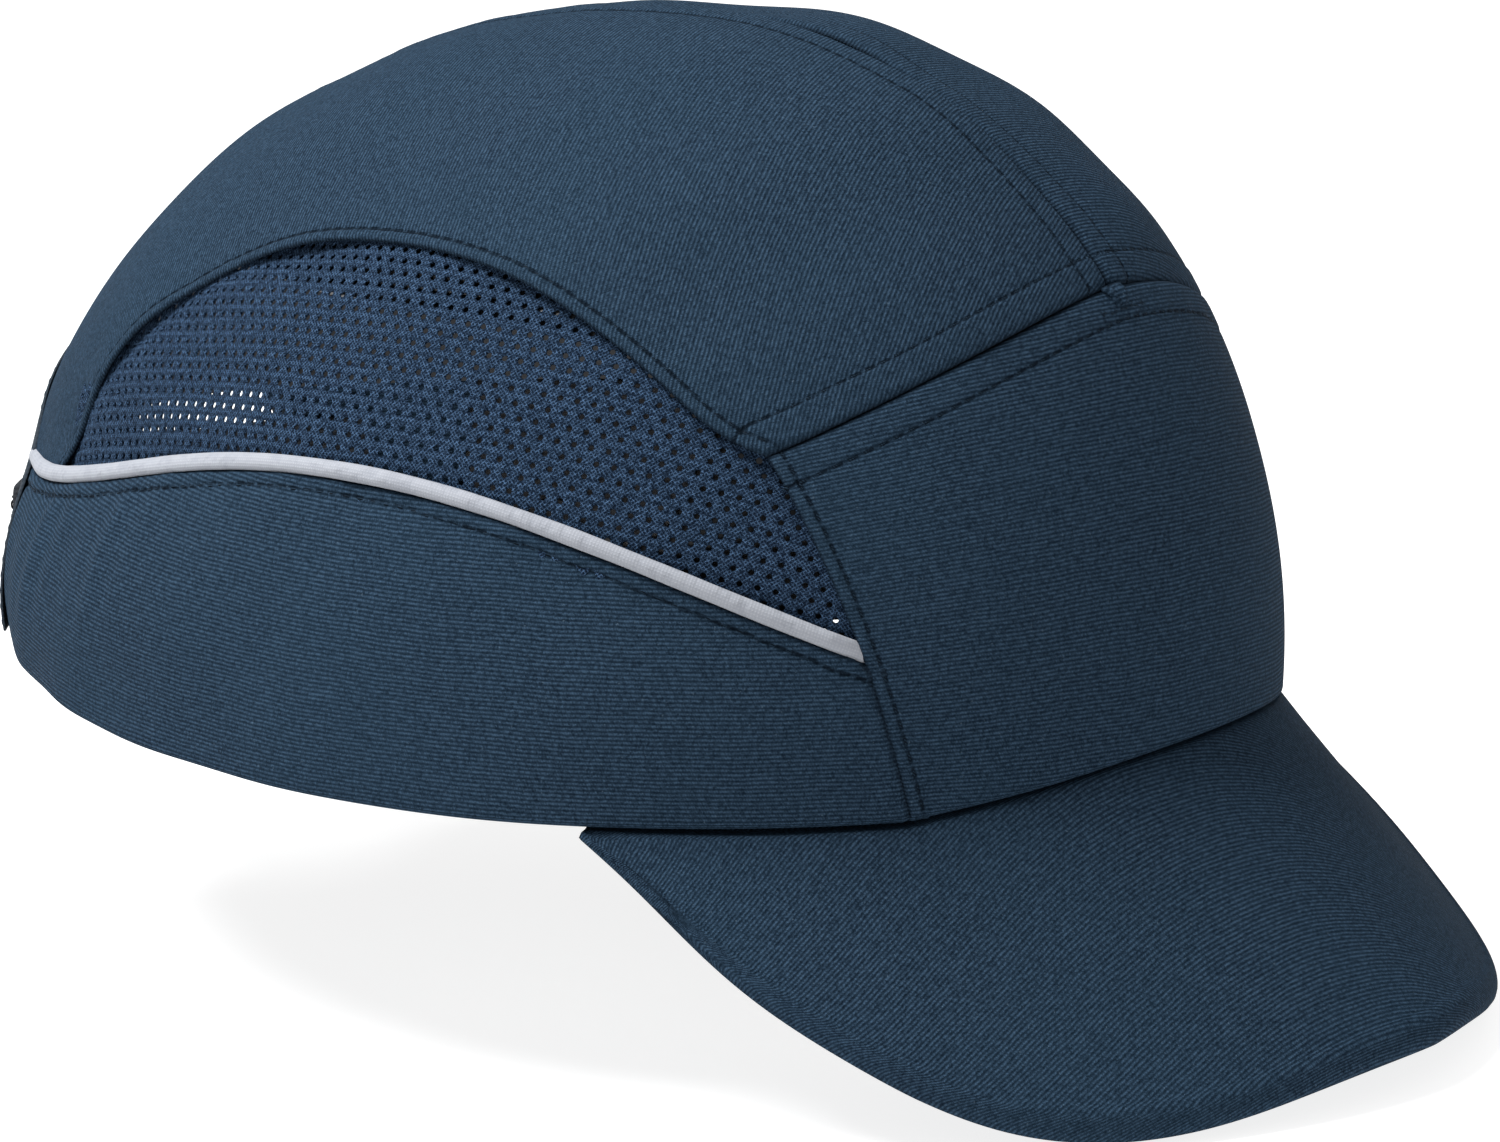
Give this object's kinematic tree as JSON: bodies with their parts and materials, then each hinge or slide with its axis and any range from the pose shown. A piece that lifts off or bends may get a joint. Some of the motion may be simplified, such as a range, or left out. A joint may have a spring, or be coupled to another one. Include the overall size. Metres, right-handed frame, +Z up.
{
  "type": "bump cap",
  "caption": "Peaked bump cap: sewn fabric crown with mesh sides and piping, a vented shell liner with foam pads that drops out, a sweatband and a hook-and-loop rear strap.",
  "frame": {"origin": "centre of the head opening, in the plane of the crown's lower rim", "axes": "+Z up toward the top of the crown, -Y toward the visor, +X toward the wearer's left"},
  "size_m": [0.1816, 0.2637, 0.1523],
  "materials": {
    "navy_twill": "matt ribbed twill",
    "navy_mesh": "matt knitted mesh",
    "grey_piping": "smooth corded piping",
    "binding_tape": "matt tape",
    "sweatband_cloth": "matt towelling",
    "visor_board": "satin polyethylene board",
    "shell_hdpe": "satin moulded shell",
    "eva_foam": "matt closed-cell foam",
    "strap_webbing": "woven webbing",
    "elastic_webbing": "ribbed elastic",
    "loop_pile": "brushed loop pile",
    "hook_tape": "moulded hooks",
    "grip_rubber": "matt rubber"
  },
  "bodies": {
    "cap": {"front_panel": "navy_twill", "side_crown_right": "navy_twill", "side_crown_left": "navy_twill", "mesh_panel_right": "navy_mesh", "mesh_panel_left": "navy_mesh", "side_band_right": "navy_twill", "side_band_left": "navy_twill", "piping_right": "grey_piping", "piping_left": "grey_piping", "rear_arch_binding": "binding_tape", "centre_seam_tape": "binding_tape", "sweatband": "sweatband_cloth", "visor_top_cover": "navy_twill", "visor_board": "visor_board", "visor_under_cover": "navy_twill", "loop_strap": "strap_webbing", "loop_tape": "loop_pile"},
    "strap_end": {"elastic_webbing": "elastic_webbing", "strap_anchor": "strap_webbing"},
    "strap_flap": {"hook_strap": "strap_webbing", "hook_tape": "hook_tape", "pull_tab": "grip_rubber"},
    "liner": {"impact_shell": "shell_hdpe", "pad_front": "eva_foam", "pad_rear": "eva_foam", "pad_crown": "eva_foam", "pad_right": "eva_foam", "pad_left": "eva_foam"}
  },
  "joints": [
    {"name": "strap_adjust", "type": "hinge", "parent": "cap", "child": "strap_end", "pos_m": [0, 0.0597, 0.013], "axis": [0, 0, 1], "range_deg": [-10, 2.5]},
    {"name": "flap_peel", "type": "hinge", "parent": "strap_end", "child": "strap_flap", "pos_m": [-0.02414, 0.11496, 0.013], "axis": [0, 0, 1], "range_deg": [0, 110]},
    {"name": "liner_removal", "type": "slide", "parent": "cap", "child": "liner", "axis": [0, 0, -1], "range_m": [0, 0.16]}
  ]
}
